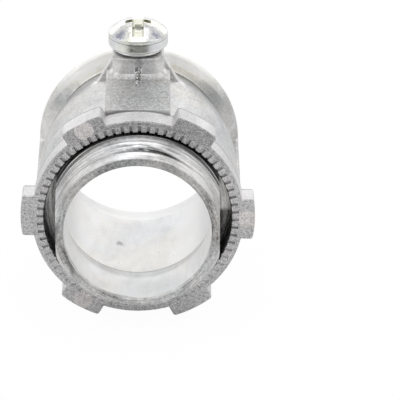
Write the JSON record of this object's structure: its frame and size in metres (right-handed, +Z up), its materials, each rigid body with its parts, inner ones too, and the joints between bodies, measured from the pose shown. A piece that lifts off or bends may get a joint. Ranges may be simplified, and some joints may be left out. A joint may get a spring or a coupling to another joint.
{
  "type": "conduit connector",
  "caption": "Cast connector that joins thin-wall conduit to a box: threaded hub with a lugged locknut, flared socket and a set screw on a boss.",
  "frame": {"origin": "on the conduit axis, in the plane of the shoulder that seats against the box wall", "axes": "+Y along the conduit axis, out of the socket's mouth; -Y out of the threaded hub; +Z up through the set screw"},
  "size_m": [0.0334, 0.0331, 0.0382],
  "materials": {
    "cast_body": "as-cast zinc alloy, light grey, semi-bright with a mottled flow sheen",
    "cast_nut": "as-cast zinc alloy, mid grey, fine grainy face",
    "plated_screw": "steel with bright clear zinc plate"
  },
  "bodies": {
    "connector_body": {"connector_body": "cast_body"},
    "locknut": {"locknut": "cast_nut"},
    "set_screw": {"set_screw": "plated_screw"}
  },
  "joints": [
    {"name": "locknut_turn", "type": "hinge", "parent": "connector_body", "child": "locknut", "pos_m": [0, -0.00217, 0], "axis": [0, 1, 0], "continuous": true},
    {"name": "set_screw_turn", "type": "hinge", "parent": "connector_body", "child": "set_screw", "pos_m": [0, 0.0149, 0.01825], "axis": [0, 0, -1], "continuous": true}
  ]
}
